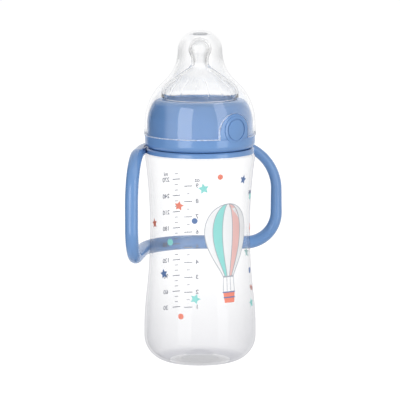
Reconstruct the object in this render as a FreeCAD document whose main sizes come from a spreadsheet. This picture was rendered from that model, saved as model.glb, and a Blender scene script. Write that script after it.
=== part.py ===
import FreeCAD, Part
import Sketcher
import math
import os
from FreeCAD import Placement, Rotation, Vector

# Feeding bottle with a twin-handle frame, standing on its base.
# Millimetres, +Z up along the bottle axis, origin at the middle of the base, badge pad towards -Y.

doc = FreeCAD.newDocument("feeding_bottle")
sheet = doc.addObject("Spreadsheet::Sheet", "sheet")

sizes = {
    # bottle body
    "belly_swell": 3.7,
    "belly_height": 20.0,
    "waist_step": 3.6,
    "waist_height": 82.0,
    "waist_bend": 340.0,
    "body_wall": 1.6,
    "base_bend": 16.0,
    "base_wall": 1.8,
    "foot_radius": 12.0,
    "punt_rise": 4.6,
    "shoulder_height": 130.5,
    "shoulder_bend": 3.0,
    # bottle neck and its thread
    "neck_radius": 27.4,
    "neck_wall": 2.2,
    "neck_height": 22.3,
    "rim_bend": 0.6,
    "thread_pitch": 5.0,
    "thread_depth": 1.3,
    "thread_root": 2.6,
    "thread_crest": 1.3,
    "thread_bite": 0.4,
    "thread_rise": 9.0,
    "neck_turns": 1.25,
    "collar_turns": 1.0,
    "thread_gap": 0.5,
    "thread_play": 0.2,
    # screw collar
    "collar_wall": 4.9,
    "collar_foot_bend": 4.0,
    "seat_rise": 8.0,
    "seat_step": 1.4,
    "dome_tall": 15.5,
    "dome_edge_bend": 5.0,
    "lip_tall": 8.3,
    "lip_cone": 2.7,
    "lip_bend": 0.8,
    "lip_flat": 1.1,
    "ledge_step": 0.4,
    "relief_wide": 1.3,
    "relief_deep": 3.4,
    # badge pad on the collar
    "pad_proud": 0.3,
    "pad_centre_rise": 14.0,
    "badge_radius": 8.3,
    "badge_proud": 0.6,
    "badge_ring_radius": 6.5,
    "badge_groove": 0.8,
    "badge_groove_deep": 0.5,
    # teat
    "flange_step": 0.8,
    "flange_thick": 2.4,
    "teat_wall": 1.6,
    "teat_gap": 0.4,
    "bulge_step": 1.4,
    "bulge_rise": 3.5,
    "teat_dome_bend": 8.0,
    "teat_slope": 35.0,
    "nipple_waist_radius": 5.3,
    "nipple_foot_bend": 5.0,
    "nipple_rise": 7.6,
    "nipple_radius": 7.1,
    "feed_hole_radius": 0.5,
    # overcap
    "cap_gap": 0.2,
    "cap_wall": 1.4,
    "cap_side_gap": 0.3,
    "cap_draft": 0.35,
    "cap_shoulder_lift": 1.0,
    "cap_teat_gap": 0.7,
    "cap_head_gap": 1.8,
    "cap_neck_radius": 13.8,
    "cap_tip_flat": 1.5,
    "cap_gate_radius": 4.3,
    "cap_gate_thick": 2.8,
    "notch_half_width": 11.2,
    "notch_tall": 15.7,
    "notch_gap": 0.4,
    # handle frame
    "ring_thick": 3.0,
    "ring_gap": 0.7,
    "ring_sink": 2.5,
    "ring_edge": 0.8,
    "grip_stand_off": 1.9,
    "grip_turn_angle": 47.3,
    "grip_reach": 46.4,
    "arm_drop": 2.1,
    "band_drop": 62.9,
    "top_bend": 28.7,
    "low_bend": 19.5,
    "grip_wide": 8.0,
    "grip_thick": 6.8,
    "grip_low_thick": 7.2,
    "band_tall": 9.0,
    "frame_gap": 0.5,
}


class Size:
    # a length with the sheet expression that gives it
    def __init__(self, value, text):
        self.value = value
        self.text = text

    def __add__(self, other):
        other = size_of(other)
        return Size(self.value + other.value, "({} + {})".format(self.text, other.text))

    def __sub__(self, other):
        other = size_of(other)
        return Size(self.value - other.value, "({} - {})".format(self.text, other.text))

    def __mul__(self, other):
        other = size_of(other)
        return Size(self.value * other.value, "({} * {})".format(self.text, other.text))

    def __truediv__(self, other):
        other = size_of(other)
        return Size(self.value / other.value, "({} / {})".format(self.text, other.text))

    def root(self):
        return Size(math.sqrt(self.value), "sqrt({})".format(self.text))

    def sine(self):
        return Size(math.sin(math.radians(self.value)), "sin({})".format(self.text))

    def cosine(self):
        return Size(math.cos(math.radians(self.value)), "cos({})".format(self.text))


def size_of(item):
    if isinstance(item, Size):
        return item
    return Size(float(item), repr(float(item)))


for row, (name, number) in enumerate(sizes.items(), start=1):
    sheet.set("A{}".format(row), name.replace("_", " "))
    sheet.set("B{}".format(row), str(number))
    sheet.setAlias("B{}".format(row), name)
doc.recompute()


def size(name):
    return Size(float(sheet.get(name)), "sheet." + name)


def origin_plane(body, role):
    return [item for item in body.Origin.OriginFeatures if item.Role == role][0]


def new_sketch(body, name, role):
    sketch = body.newObject("Sketcher::SketchObject", name)
    sketch.AttachmentSupport = [(origin_plane(body, role), "")]
    sketch.MapMode = "FlatFace"
    return sketch


def bind(sketch, kind, places, length, name):
    number = sketch.addConstraint(Sketcher.Constraint(kind, *places, length.value))
    sketch.renameConstraint(number, name)
    sketch.setExpression("Constraints." + name, length.text)


# Draws a closed outline through named corners: (name, across, up, bend, turn).
# A bend joins the corner to the next one by an arc, turn +1 counter-clockwise or -1 clockwise.
def draw_outline(sketch, corners):
    ends = []
    count = len(corners)
    for index, (name, across, up, bend, turn) in enumerate(corners):
        following = corners[(index + 1) % count]
        first = Vector(across.value, up.value, 0)
        last = Vector(following[1].value, following[2].value, 0)
        if bend is None:
            sketch.addGeometry(Part.LineSegment(first, last))
            ends.append((1, 2))
            continue
        chord = last - first
        side = Vector(-chord.y, chord.x, 0).normalize() * turn
        depth = math.sqrt(max(bend.value ** 2 - (chord.Length / 2) ** 2, 0))
        centre = (first + last) * 0.5 + side * depth
        circle = Part.Circle(centre, Vector(0, 0, 1), bend.value)
        starts = [math.atan2(point.y - centre.y, point.x - centre.x) for point in (first, last)]
        if turn < 0:
            starts.reverse()
        if starts[1] < starts[0]:
            starts[1] += 2 * math.pi
        sketch.addGeometry(Part.ArcOfCircle(circle, starts[0], starts[1]))
        ends.append((1, 2) if turn > 0 else (2, 1))
    for index, (name, across, up, bend, turn) in enumerate(corners):
        following = (index + 1) % count
        start = ends[index][0]
        sketch.addConstraint(Sketcher.Constraint("Coincident", index, ends[index][1], following, ends[following][0]))
        if across.value == 0:
            sketch.addConstraint(Sketcher.Constraint("PointOnObject", index, start, -2))
        else:
            bind(sketch, "DistanceX", (-1, 1, index, start), across, name + "_across")
        if up.value == 0:
            sketch.addConstraint(Sketcher.Constraint("PointOnObject", index, start, -1))
        else:
            bind(sketch, "DistanceY", (-1, 1, index, start), up, name + "_up")
        if bend is not None:
            bind(sketch, "Radius", (index,), bend, name + "_bend")


def line_to(name, across, up):
    return (name, size_of(across), size_of(up), None, 0)


def bend_from(name, across, up, bend, turn):
    return (name, size_of(across), size_of(up), size_of(bend), turn)


def turned_body(label, corners):
    body = doc.addObject("PartDesign::Body", label)
    sketch = new_sketch(body, label + "_outline", "XZ_Plane")
    draw_outline(sketch, corners)
    turned = body.newObject("PartDesign::Revolution", label + "_turned")
    turned.Profile = sketch
    turned.ReferenceAxis = (sketch, ["V_Axis"])
    turned.Angle = 360
    doc.recompute()
    return body


def add_thread(body, label, corners, turns):
    sketch = new_sketch(body, label + "_ridge", "XZ_Plane")
    draw_outline(sketch, corners)
    thread = body.newObject("PartDesign::AdditiveHelix", label)
    thread.Profile = sketch
    thread.ReferenceAxis = (sketch, ["V_Axis"])
    thread.Mode = "pitch-turns-angle"
    thread.setExpression("Pitch", size("thread_pitch").text)
    thread.setExpression("Turns", turns.text)
    doc.recompute()


# Levels along the bottle axis
shoulder = size("shoulder_height")
rim = shoulder + size("neck_height")
collar_foot = shoulder + size("ring_thick")
seat = collar_foot + size("seat_rise")
ledge = rim + size("flange_thick")
collar_top = ledge + size("lip_tall")
zero = size_of(0)

# Radii that follow from the neck, through its thread, to the collar
neck = size("neck_radius")
bore = neck - size("neck_wall")
crest = neck + size("thread_depth")
collar_bore = crest + size("thread_gap")
collar_radius = collar_bore + size("collar_wall")
seat_radius = collar_radius - size("seat_step")
ledge_radius = bore + size("ledge_step")
opening = ledge_radius - size("lip_cone")

# Bottle body: belly and waist arcs run into each other, the wall follows at one thickness
wall = size("body_wall")
waist_radius = neck + size("waist_step")
belly = waist_radius + size("belly_swell")
waist_bend = size("waist_bend")
waist_centre = waist_radius + waist_bend
across_gap = waist_centre - belly
up_gap = size("waist_height") - size("belly_height")
belly_bend = (across_gap * across_gap + up_gap * up_gap - waist_bend * waist_bend) / (
    (waist_bend - across_gap) * 2)
bend_sum = waist_bend + belly_bend
lean_across = (belly - belly_bend - waist_centre) / bend_sum
lean_up = (size("belly_height") - size("waist_height")) / bend_sum
base_bend = size("base_bend")
base_wall = size("base_wall")
base_flat = belly - base_bend
foot = size("foot_radius")
punt = size("punt_rise")
punt_bend = (foot * foot + punt * punt) / (punt * 2)
corner = size("shoulder_bend")
corner_up = shoulder - corner
corner_reach = waist_bend + corner
corner_rise = corner_up - size("waist_height")
corner_run = (corner_reach * corner_reach - corner_rise * corner_rise).root()
corner_across = waist_centre - corner_run
turn_across = corner_run / corner_reach
turn_up = corner_rise / corner_reach
rim_bend = size("rim_bend")


# Side of the body from the belly up to the shoulder, moved outward by a distance
def side_corners(name, outward_by):
    bend = waist_bend - outward_by
    return [
        bend_from(name + "_belly", belly + outward_by, size("belly_height"), belly_bend + outward_by, 1),
        bend_from(name + "_joint", waist_centre + bend * lean_across, size("waist_height") + bend * lean_up,
                  bend, -1),
        bend_from(name + "_corner", waist_centre - bend * turn_across, size("waist_height") + bend * turn_up,
                  corner + outward_by, 1),
        line_to(name + "_shoulder", corner_across, shoulder + outward_by),
    ]


bottle_body = turned_body("bottle_body", [
    bend_from("punt_foot", foot, zero, punt_bend, 1),
    line_to("punt_top", zero, punt),
    bend_from("floor_top", zero, punt + base_wall, punt_bend, -1),
    line_to("floor_foot", foot, base_wall),
    bend_from("floor_bend", base_flat, base_wall, base_bend - wall, 1),
    line_to("inner_belly_foot", belly - wall, base_wall + base_bend - wall),
    *side_corners("inner", zero - wall),
    line_to("bore_foot", bore, shoulder - wall),
    bend_from("bore_top", bore, rim - rim_bend, rim_bend, -1),
    line_to("rim_inside", bore + rim_bend, rim),
    bend_from("rim_outside", neck - rim_bend, rim, rim_bend, -1),
    line_to("neck_top", neck, rim - rim_bend),
    line_to("neck_foot", neck, shoulder),
    bend_from("shoulder_edge", corner_across, shoulder, corner, -1),
    bend_from("shoulder_side", waist_centre - waist_bend * turn_across,
              size("waist_height") + waist_bend * turn_up, waist_bend, 1),
    bend_from("outer_joint", waist_centre + waist_bend * lean_across,
              size("waist_height") + waist_bend * lean_up, belly_bend, -1),
    line_to("belly", belly, size("belly_height")),
    bend_from("belly_foot", belly, base_bend, base_bend, -1),
    line_to("base_edge", base_flat, zero),
])
thread_up = shoulder + size("thread_rise")
half_root = size("thread_root") / 2
half_crest = size("thread_crest") / 2
bite = size("thread_bite")
half_bite = half_root + (half_root - half_crest) * bite / size("thread_depth")
add_thread(bottle_body, "neck_thread", [
    line_to("low_root", neck - bite, thread_up - half_bite),
    line_to("low_crest", crest, thread_up - half_crest),
    line_to("high_crest", crest, thread_up + half_crest),
    line_to("high_root", neck - bite, thread_up + half_bite),
], size("neck_turns"))

# Screw collar: domed outside, threaded bore, ledge that presses on the teat flange
lip = size("lip_bend")
dome_start = collar_top - size("dome_tall")
edge_bend = size("dome_edge_bend")
edge_across = opening + lip + size("lip_flat")
edge_rise = size("dome_tall") - edge_bend
dome_run = seat_radius - edge_across
dome_bend = (dome_run * dome_run + edge_rise * edge_rise - edge_bend * edge_bend) / (
    (dome_run - edge_bend) * 2)
dome_centre = seat_radius - dome_bend
dome_cosine = (edge_across - dome_centre) / (dome_bend - edge_bend)
dome_sine = edge_rise / (dome_bend - edge_bend)
relief_radius = collar_bore - size("relief_wide")
relief_top = ledge + size("relief_deep")
collar_turned = turned_body("collar_shell", [
    line_to("bore_foot", collar_bore, collar_foot),
    bend_from("foot_edge", collar_radius - size("collar_foot_bend"), collar_foot, size("collar_foot_bend"), 1),
    line_to("foot_side", collar_radius, collar_foot + size("collar_foot_bend")),
    line_to("seat_outside", collar_radius, seat),
    line_to("seat_inside", seat_radius, seat),
    bend_from("dome_foot", seat_radius, dome_start, dome_bend, 1),
    bend_from("dome_joint", dome_centre + dome_bend * dome_cosine, dome_start + dome_bend * dome_sine,
              edge_bend, 1),
    line_to("dome_top", edge_across, collar_top),
    bend_from("lip_top", opening + lip, collar_top, lip, 1),
    line_to("lip_side", opening, collar_top - lip),
    line_to("ledge_inside", ledge_radius, ledge),
    line_to("ledge_outside", relief_radius, ledge),
    line_to("relief_inside", relief_radius, relief_top),
    line_to("relief_outside", collar_bore, relief_top),
])
thread_drop = half_root * 2 - (half_root - half_crest) * (
    size("thread_depth") + size("thread_gap")) / size("thread_depth") + size("thread_play")
collar_thread_up = thread_up - thread_drop
collar_crest = collar_bore - size("thread_depth")
add_thread(collar_turned, "collar_thread", [
    line_to("low_crest", collar_crest, collar_thread_up - half_crest),
    line_to("low_root", collar_bore + bite, collar_thread_up - half_bite),
    line_to("high_root", collar_bore + bite, collar_thread_up + half_bite),
    line_to("high_crest", collar_crest, collar_thread_up + half_crest),
], size("collar_turns"))


def arch(body, name, half_width, foot_up, top_up):
    sketch = new_sketch(body, name, "XZ_Plane")
    spring = top_up - half_width
    left = sketch.addGeometry(Part.LineSegment(Vector(-half_width.value, spring.value, 0),
                                               Vector(-half_width.value, foot_up.value, 0)))
    low = sketch.addGeometry(Part.LineSegment(Vector(-half_width.value, foot_up.value, 0),
                                              Vector(half_width.value, foot_up.value, 0)))
    right = sketch.addGeometry(Part.LineSegment(Vector(half_width.value, foot_up.value, 0),
                                                Vector(half_width.value, spring.value, 0)))
    circle = Part.Circle(Vector(0, spring.value, 0), Vector(0, 0, 1), half_width.value)
    crown = sketch.addGeometry(Part.ArcOfCircle(circle, 0, math.pi))
    for first, second in ((left, low), (low, right)):
        sketch.addConstraint(Sketcher.Constraint("Coincident", first, 2, second, 1))
    sketch.addConstraint(Sketcher.Constraint("Tangent", right, 2, crown, 1))
    sketch.addConstraint(Sketcher.Constraint("Tangent", crown, 2, left, 1))
    sketch.addConstraint(Sketcher.Constraint("Vertical", left))
    sketch.addConstraint(Sketcher.Constraint("Horizontal", low))
    sketch.addConstraint(Sketcher.Constraint("PointOnObject", crown, 3, -2))
    bind(sketch, "DistanceY", (-1, 1, low, 1), foot_up, "foot_up")
    bind(sketch, "DistanceY", (-1, 1, crown, 3), spring, "spring_up")
    bind(sketch, "Radius", (crown,), half_width, "half_width")
    return sketch


# Badge pad: an arched block rounded off by a ball, standing in the overcap notch, with a raised disc on it
pad_face = collar_radius + size("pad_proud")
badge_face = pad_face + size("badge_proud")
cap_rim = seat + size("cap_gap")
notch_top = cap_rim + size("notch_tall")
pad_half = size("notch_half_width") - size("notch_gap")
pad_body = doc.addObject("PartDesign::Body", "pad_block")
pad_sketch = arch(pad_body, "pad_arch", pad_half, collar_foot + size("collar_foot_bend"),
                  notch_top - size("notch_gap"))
pad_block = pad_body.newObject("PartDesign::Pad", "pad_length")
pad_block.Profile = pad_sketch
pad_block.setExpression("Length", pad_face.text)
doc.recompute()

pad_centre = collar_foot + size("pad_centre_rise")


def ball(name, radius):
    item = doc.addObject("Part::Sphere", name)
    item.setExpression("Radius", radius.text)
    item.setExpression("Placement.Base.z", pad_centre.text)
    return item


def post(name, radius, foot_up, tall):
    item = doc.addObject("Part::Cylinder", name)
    item.setExpression("Radius", radius.text)
    item.setExpression("Height", tall.text)
    item.setExpression("Placement.Base.z", foot_up.text)
    return item


def peg(name, radius, length, up):
    item = doc.addObject("Part::Cylinder", name)
    item.setExpression("Radius", radius.text)
    item.setExpression("Height", length.text)
    item.Placement = Placement(Vector(0, 0, up.value), Rotation(Vector(1, 0, 0), 90))
    item.setExpression("Placement.Base.z", up.text)
    return item


def joined(kind, name, base, tool):
    item = doc.addObject(kind, name)
    item.Base = base
    item.Tool = tool
    doc.recompute()
    return item


pad_round = joined("Part::Common", "pad_round", pad_body, ball("pad_ball", pad_face))
badge_peg = peg("badge_peg", size("badge_radius"), badge_face * 2, pad_centre)
badge_disc = joined("Part::Common", "badge_disc", badge_peg, ball("badge_ball", badge_face))
pad_whole = joined("Part::Fuse", "pad_whole", pad_round, badge_disc)
pad_core = post("pad_core", relief_radius, collar_foot, collar_top - collar_foot)
pad_bored = joined("Part::Cut", "pad_bored", pad_whole, pad_core)
inner_clear = post("pad_inner_clear", collar_bore, collar_foot, relief_top - collar_foot)
pad_open = joined("Part::Cut", "pad_open", pad_bored, inner_clear)
half_groove = size("badge_groove") / 2
groove_outside = peg("groove_outside", size("badge_ring_radius") + half_groove, badge_face * 2, pad_centre)
groove_inside = peg("groove_inside", size("badge_ring_radius") - half_groove, badge_face * 2, pad_centre)
groove_tube = joined("Part::Cut", "groove_tube", groove_outside, groove_inside)
groove_floor = ball("groove_floor", badge_face - size("badge_groove_deep"))
groove_ring = joined("Part::Cut", "groove_ring", groove_tube, groove_floor)
pad = joined("Part::Cut", "pad", pad_open, groove_ring)
screw_collar = joined("Part::Fuse", "screw_collar", collar_turned, pad)

# Teat: clamped flange, skirt through the collar opening, bulge over the lip, dome and cherry-shaped nipple
teat_wall = size("teat_wall")
flange_radius = neck + size("flange_step")
skirt_low = ledge_radius - size("teat_gap")
skirt_high = opening - size("teat_gap")
lip_low = collar_top - lip
lip_high = collar_top + size("teat_gap")
bulge_bend = size("bulge_step")
bulge = skirt_high + bulge_bend
dome_up = collar_top + size("bulge_rise")
teat_dome = size("teat_dome_bend")
slope_sine = size("teat_slope").sine()
slope_cosine = size("teat_slope").cosine()
nipple_waist = size("nipple_waist_radius")
nipple_foot = size("nipple_foot_bend")
nipple = size("nipple_radius")
nipple_rise = size("nipple_rise")
teat_centre = bulge - teat_dome
dome_end_across = teat_centre + teat_dome * slope_sine
dome_end_up = dome_up + teat_dome * slope_cosine
foot_start_across = nipple_waist + nipple_foot * (size_of(1) - slope_sine)
foot_start_up = dome_end_up + (dome_end_across - foot_start_across) * slope_sine / slope_cosine
waist_up = foot_start_up + nipple_foot * slope_cosine
nipple_up = waist_up + nipple_rise
teat_tip = nipple_up + nipple
nipple_hollow = (nipple_waist * nipple_waist + nipple_rise * nipple_rise - nipple * nipple) / (
    (nipple - nipple_waist) * 2)
hollow_sum = nipple_hollow + nipple
side_across = (nipple_waist + nipple_hollow) / hollow_sum
side_up = nipple_rise / hollow_sum
hole = size("feed_hole_radius")
inner_nipple = nipple - teat_wall
inner_foot = nipple_foot + teat_wall
inner_dome = teat_dome - teat_wall
foot_centre = nipple_waist + nipple_foot
teat = turned_body("teat", [
    line_to("flange_inside", skirt_low - teat_wall, rim),
    line_to("flange_low", flange_radius, rim),
    line_to("flange_high", flange_radius, ledge),
    line_to("skirt_low", skirt_low, ledge),
    line_to("skirt_high", skirt_high, lip_low),
    bend_from("bulge_low", skirt_high, lip_high, bulge_bend, 1),
    line_to("bulge_side", bulge, lip_high + bulge_bend),
    bend_from("dome_side", bulge, dome_up, teat_dome, 1),
    line_to("dome_end", dome_end_across, dome_end_up),
    bend_from("nipple_foot", foot_start_across, foot_start_up, nipple_foot, -1),
    bend_from("nipple_waist", nipple_waist, waist_up, nipple_hollow, -1),
    bend_from("nipple_side", nipple * side_across, nipple_up - nipple * side_up, nipple, 1),
    line_to("hole_outside", hole, nipple_up + (nipple * nipple - hole * hole).root()),
    bend_from("hole_inside", hole, nipple_up + (inner_nipple * inner_nipple - hole * hole).root(),
              inner_nipple, -1),
    bend_from("inner_side", inner_nipple * side_across, nipple_up - inner_nipple * side_up,
              nipple_hollow + teat_wall, 1),
    bend_from("inner_waist", nipple_waist - teat_wall, waist_up, inner_foot, 1),
    line_to("inner_foot", foot_centre - inner_foot * slope_sine, waist_up - inner_foot * slope_cosine),
    bend_from("inner_dome_end", teat_centre + inner_dome * slope_sine, dome_up + inner_dome * slope_cosine,
              inner_dome, -1),
    line_to("inner_dome_side", bulge - teat_wall, dome_up),
    line_to("inner_groove", skirt_high - teat_wall, lip_high),
    line_to("inner_skirt_high", skirt_high - teat_wall, lip_low),
    line_to("inner_skirt_low", skirt_low - teat_wall, ledge),
])

# Overcap: bell that flares from a round tip down to a rim on the collar seat, clear of the teat all over
cap_wall = size("cap_wall")
cap_shoulder = seat_radius + size("cap_side_gap") + cap_wall
cap_rim_radius = cap_shoulder + size("cap_draft")
cap_shoulder_up = dome_start + size("cap_shoulder_lift")
cap_neck = size("cap_neck_radius")
tip = cap_neck - size("cap_tip_flat")
cap_neck_up = teat_tip + size("cap_head_gap") + size("cap_gate_thick") - tip
cap_rise = cap_neck_up - cap_shoulder_up
teat_inset = cap_shoulder - teat_centre
teat_above = dome_up - cap_shoulder_up
teat_cover = teat_dome + size("cap_teat_gap") + cap_wall
cap_bend = (teat_inset * teat_inset + teat_above * teat_above - teat_cover * teat_cover) / (
    (teat_inset - teat_cover) * 2)
flare_run = cap_bend + cap_neck - cap_shoulder
flare = (flare_run * flare_run + cap_rise * cap_rise - cap_bend * cap_bend) / ((cap_shoulder - cap_neck) * 2)
flare_centre = cap_neck + flare
cap_sum = flare + cap_bend
cap_lean_across = (cap_shoulder - cap_bend - flare_centre) / cap_sum
cap_lean_up = (cap_shoulder_up - cap_neck_up) / cap_sum
inner_flare = flare + cap_wall
inner_tip = tip - cap_wall
tip_centre = cap_neck - tip
gate = size("cap_gate_radius")
gate_run = gate - tip_centre
overcap = turned_body("overcap", [
    line_to("rim_inside", cap_rim_radius - cap_wall, cap_rim),
    line_to("rim_outside", cap_rim_radius, cap_rim),
    bend_from("shoulder", cap_shoulder, cap_shoulder_up, cap_bend, 1),
    bend_from("flare_foot", flare_centre + flare * cap_lean_across, cap_neck_up + flare * cap_lean_up, flare, -1),
    bend_from("neck", cap_neck, cap_neck_up, tip, 1),
    line_to("tip_edge", tip_centre, cap_neck_up + tip),
    line_to("tip_middle", zero, cap_neck_up + tip),
    line_to("gate_middle", zero, cap_neck_up + tip - size("cap_gate_thick")),
    line_to("gate_low", gate, cap_neck_up + tip - size("cap_gate_thick")),
    bend_from("gate_high", gate, cap_neck_up + (inner_tip * inner_tip - gate_run * gate_run).root(),
              inner_tip, -1),
    bend_from("inner_neck", cap_neck - cap_wall, cap_neck_up, inner_flare, 1),
    bend_from("inner_flare_foot", flare_centre + inner_flare * cap_lean_across,
              cap_neck_up + inner_flare * cap_lean_up, cap_bend - cap_wall, -1),
    line_to("inner_shoulder", cap_shoulder - cap_wall, cap_shoulder_up),
])
notch_sketch = arch(overcap, "notch_arch", size("notch_half_width"), collar_foot, notch_top)
notch = overcap.newObject("PartDesign::Pocket", "notch")
notch.Profile = notch_sketch
notch.Reversed = True
notch.setExpression("Length", (cap_rim_radius * 2).text)
doc.recompute()

# Handle frame: clamping ring, and a bar that runs round each grip loop and behind the bottle
frame_gap = size("frame_gap")
grip_centre = collar_radius + size("grip_stand_off")
ring_radius = grip_centre - size("ring_sink")
ring_bore = crest + size("ring_gap")
ring = turned_body("clamp_ring", [
    line_to("bore_foot", ring_bore, shoulder),
    line_to("side_foot", ring_radius, shoulder),
    line_to("side_top", ring_radius, collar_foot - size("ring_edge")),
    line_to("edge_top", ring_radius - size("ring_edge"), collar_foot),
    line_to("bore_top", ring_bore, collar_foot),
])
back = grip_centre.value
turn_angle = math.radians(size("grip_turn_angle").value)
reach = size("grip_reach").value
arm_up = collar_foot.value - size("arm_drop").value
band_up = arm_up - size("band_drop").value
top_bend = size("top_bend").value
low_bend = size("low_bend").value
outward = Vector(math.cos(turn_angle), math.sin(turn_angle), 0)
along = Vector(math.sin(turn_angle), -math.cos(turn_angle), 0)
upward = Vector(0, 0, 1)


def loop_point(distance, up):
    return outward * back + along * distance + upward * up


def back_point(angle, up):
    return Vector(back * math.cos(angle), back * math.sin(angle), up)


def grip_section(middle, wide_way, tall_way, wide, tall):
    if wide >= tall:
        oval = Part.Ellipse(middle + wide_way * (wide / 2), middle + tall_way * (tall / 2), middle)
        start = 0
    else:
        oval = Part.Ellipse(middle + tall_way * (tall / 2), middle - wide_way * (wide / 2), middle)
        start = -math.pi / 2
    quarter = math.pi / 2
    edges = []
    for step in range(4):
        edges.append(Part.ArcOfEllipse(oval, start + step * quarter, start + (step + 1) * quarter).toShape())
    return Part.Wire(edges)


middle_angle = (turn_angle + math.pi / 2) / 2
slant = math.sqrt(0.5)
arm_end = loop_point(reach - top_bend, arm_up)
bar_top = loop_point(reach, arm_up - top_bend)
bar_foot = loop_point(reach, band_up + low_bend)
band_end = loop_point(reach - low_bend, band_up)
top_middle = loop_point(reach - top_bend * (1 - slant), arm_up - top_bend * (1 - slant))
low_middle = loop_point(reach - low_bend * (1 - slant), band_up + low_bend * (1 - slant))
back_top = back_point(math.pi / 2, arm_up)
back_low = back_point(math.pi / 2, band_up)
grip_line = Part.Wire([
    Part.Arc(back_top, back_point(middle_angle, arm_up), loop_point(0, arm_up)).toShape(),
    Part.LineSegment(loop_point(0, arm_up), arm_end).toShape(),
    Part.Arc(arm_end, top_middle, bar_top).toShape(),
    Part.LineSegment(bar_top, bar_foot).toShape(),
    Part.Arc(bar_foot, low_middle, band_end).toShape(),
    Part.LineSegment(band_end, loop_point(0, band_up)).toShape(),
    Part.Arc(loop_point(0, band_up), back_point(middle_angle, band_up), back_low).toShape(),
])
backward = Vector(0, 1, 0)
grip_wide = size("grip_wide").value
grip_thick = size("grip_thick").value
right_grip = doc.addObject("Part::Feature", "right_grip")
right_grip.Shape = grip_line.makePipeShell([
    grip_section(back_top, backward, upward, grip_wide, grip_thick),
    grip_section(bar_top, outward, along, grip_wide, grip_thick),
    grip_section(bar_foot, outward, along, grip_wide, size("grip_low_thick").value),
    grip_section(back_low, backward, upward * -1, grip_wide, size("band_tall").value),
], True, False)
left_grip = doc.addObject("Part::Mirroring", "left_grip")
left_grip.Source = right_grip
left_grip.Normal = Vector(1, 0, 0)
doc.recompute()
body_clear = turned_body("body_clear", [
    line_to("foot_middle", zero, size("belly_height")),
    *side_corners("clear", frame_gap),
    line_to("top_middle", zero, shoulder + frame_gap),
])
collar_clear = post("collar_clear", collar_radius + frame_gap, collar_foot, size("neck_height"))
frame_bars = joined("Part::Fuse", "frame_bars", right_grip, left_grip)
frame_low = joined("Part::Cut", "frame_low", frame_bars, body_clear)
frame_high = joined("Part::Cut", "frame_high", frame_low, collar_clear)
handle_frame = joined("Part::Fuse", "handle_frame", frame_high, ring)

# Save each piece
pieces = [bottle_body, handle_frame, screw_collar, teat, overcap]
doc.recompute()
for item in doc.Objects:
    if "Invalid" in item.State or "Error" in item.State:
        raise SystemExit("not built: " + item.Label)
os.makedirs("parts", exist_ok=True)
for item in pieces:
    shape = item.Shape
    if shape.isNull() or not shape.isValid() or len(shape.Solids) != 1:
        raise SystemExit("not one sound solid: " + item.Label)
    shape.exportStep("parts/{}.step".format(item.Label))
    print(item.Label, round(shape.Volume), shape.BoundBox)
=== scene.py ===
import math

import bmesh
import bpy
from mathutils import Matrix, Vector


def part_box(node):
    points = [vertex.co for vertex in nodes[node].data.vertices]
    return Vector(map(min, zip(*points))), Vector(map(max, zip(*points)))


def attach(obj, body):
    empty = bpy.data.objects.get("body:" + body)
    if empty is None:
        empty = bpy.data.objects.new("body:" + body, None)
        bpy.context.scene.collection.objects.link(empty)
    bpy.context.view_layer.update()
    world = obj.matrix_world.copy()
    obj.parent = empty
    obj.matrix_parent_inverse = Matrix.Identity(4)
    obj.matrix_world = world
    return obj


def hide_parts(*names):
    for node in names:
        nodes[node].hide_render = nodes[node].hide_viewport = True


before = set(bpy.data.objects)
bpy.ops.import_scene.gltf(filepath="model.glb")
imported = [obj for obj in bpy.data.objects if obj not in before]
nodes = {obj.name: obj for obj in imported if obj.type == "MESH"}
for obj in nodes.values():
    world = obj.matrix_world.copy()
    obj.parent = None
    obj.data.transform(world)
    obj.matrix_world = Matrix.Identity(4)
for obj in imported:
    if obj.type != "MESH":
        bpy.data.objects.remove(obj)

# Feeding bottle: clear bottle and overcap, silicone teat, blue collar and handle frame, printed wall.
# Metres, +Z up. Angles go round the bottle in degrees, 0 faces -Y and grows towards +X.
mm = 0.001
scene = bpy.context.scene
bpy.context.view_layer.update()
print("frame:", len(nodes), "nodes")

cameraSet = {
    "azimuth": -40.0,
    "elevation": 8.2,
    "target": (0.0, 0.0, 0.1005),
    "distance": 2.0,
    "frameWidth": 0.248,  # metres across the picture, at the target
}


def facing(azimuth, elevation=0.0):
    turn, lift = math.radians(azimuth), math.radians(elevation)
    level = math.cos(lift)
    return Vector((math.sin(turn) * level, -math.cos(turn) * level, math.sin(lift)))


def aim(item, place, target):
    item.location = place
    item.rotation_euler = (target - place).to_track_quat("-Z", "Y").to_euler()


def placeCamera(spec):
    data = bpy.data.cameras.new("viewCamera")
    camera = bpy.data.objects.new("viewCamera", data)
    scene.collection.objects.link(camera)
    target = Vector(spec["target"])
    aim(camera, target + facing(spec["azimuth"], spec["elevation"]) * spec["distance"], target)
    data.lens = data.sensor_width * spec["distance"] / spec["frameWidth"]
    scene.camera = camera


placeCamera(cameraSet)
print("camera placed")

# Node helpers
noiseForm = {
    "cloudDetail": 3.0,
    "grainDetail": 1.0,
    "middle": (0.3, 0.7),  # where most of a noise lies
    "drawn": (1, 1, 0.35),  # stretches the grain of the clear walls up the piece
}


def newMaterial(name):
    material = bpy.data.materials.new(name)
    material.use_nodes = True
    tree = material.node_tree
    return material, tree, tree.nodes["Principled BSDF"]


def setInputs(node, values):
    for name, value in values.items():
        node.inputs[name].default_value = value


def noiseFrom(tree, scale, detail, stretch=(1, 1, 1)):
    coords = tree.nodes.new("ShaderNodeTexCoord")
    mapping = tree.nodes.new("ShaderNodeMapping")
    mapping.inputs["Scale"].default_value = stretch
    noise = tree.nodes.new("ShaderNodeTexNoise")
    setInputs(noise, {"Scale": scale, "Detail": detail})
    tree.links.new(coords.outputs["Object"], mapping.inputs["Vector"])
    tree.links.new(mapping.outputs["Vector"], noise.inputs["Vector"])
    return noise.outputs["Fac"]


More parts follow.
